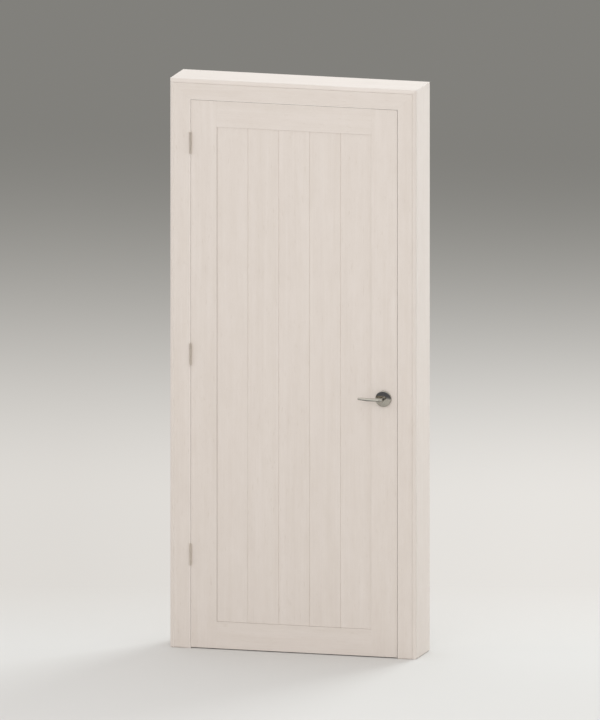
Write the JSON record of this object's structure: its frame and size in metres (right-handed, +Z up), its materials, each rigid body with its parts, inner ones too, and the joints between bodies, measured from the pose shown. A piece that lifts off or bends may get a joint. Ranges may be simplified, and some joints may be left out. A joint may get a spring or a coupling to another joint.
{
  "type": "interior door",
  "caption": "Hinged interior door in its boxed frame: pale wood leaf with a sunk field of vertical V-jointed boards, butt hinges on the left and a lever handle on a round rose.",
  "frame": {"origin": "centre of the hinge post's foot, on the floor, in the lining of the frame's hinge side", "axes": "+X along the wall from the hinge side to the latch side, +Y into the wall away from the side the leaf opens to, +Z up"},
  "size_m": [0.91, 0.2285, 2.059],
  "materials": {
    "frame_wood": "pale limed wood, satin",
    "leaf_wood": "pale limed wood, satin",
    "board_wood": "pale limed wood, satin, fine upright grain",
    "polished_metal": "polished",
    "hinge_metal": "satin",
    "latch_metal": "satin"
  },
  "bodies": {
    "frame": {"back_casing_head": "frame_wood", "back_casing_hinge_side": "frame_wood", "back_casing_latch_side": "frame_wood", "head_jamb": "frame_wood", "hinge_bottom_frame_plate": "hinge_metal", "hinge_middle_frame_plate": "hinge_metal", "hinge_post": "frame_wood", "hinge_top_frame_plate": "hinge_metal", "latch_post": "frame_wood", "outer_cover_hinge_side": "frame_wood", "outer_cover_latch_side": "frame_wood", "outer_cover_top": "frame_wood", "stop_head": "frame_wood", "stop_hinge_side": "frame_wood", "stop_latch_side": "frame_wood", "strike_plate": "latch_metal"},
    "leaf": {"back_board_1": "board_wood", "back_board_2": "board_wood", "back_board_3": "board_wood", "back_board_4": "board_wood", "back_board_5": "board_wood", "front_board_1": "board_wood", "front_board_2": "board_wood", "front_board_3": "board_wood", "front_board_4": "board_wood", "front_board_5": "board_wood", "hinge_bottom_leaf_plate": "hinge_metal", "hinge_bottom_pin": "hinge_metal", "hinge_middle_leaf_plate": "hinge_metal", "hinge_middle_pin": "hinge_metal", "hinge_top_leaf_plate": "hinge_metal", "hinge_top_pin": "hinge_metal", "latch_bolt": "latch_metal", "latch_forend": "latch_metal", "leaf_bottom_rail": "leaf_wood", "leaf_stile_hinge_side": "leaf_wood", "leaf_stile_latch_side": "leaf_wood", "leaf_top_rail": "leaf_wood", "rose_back": "polished_metal", "rose_front": "polished_metal"},
    "handle": {"lever_front": "polished_metal", "lever_back": "polished_metal", "spindle": "latch_metal"}
  },
  "joints": [
    {"name": "leaf_swing", "type": "hinge", "parent": "frame", "child": "leaf", "pos_m": [0.0154, -0.0935, 0], "axis": [0, 0, -1], "range_deg": [0, 110]},
    {"name": "lever_turn", "type": "hinge", "parent": "leaf", "child": "handle", "pos_m": [0.7278, -0.0685, 0.938], "axis": [0, -1, 0], "range_deg": [0, 40], "stiffness_Nm_per_rad": 1.5, "springref_deg": -28.65}
  ]
}
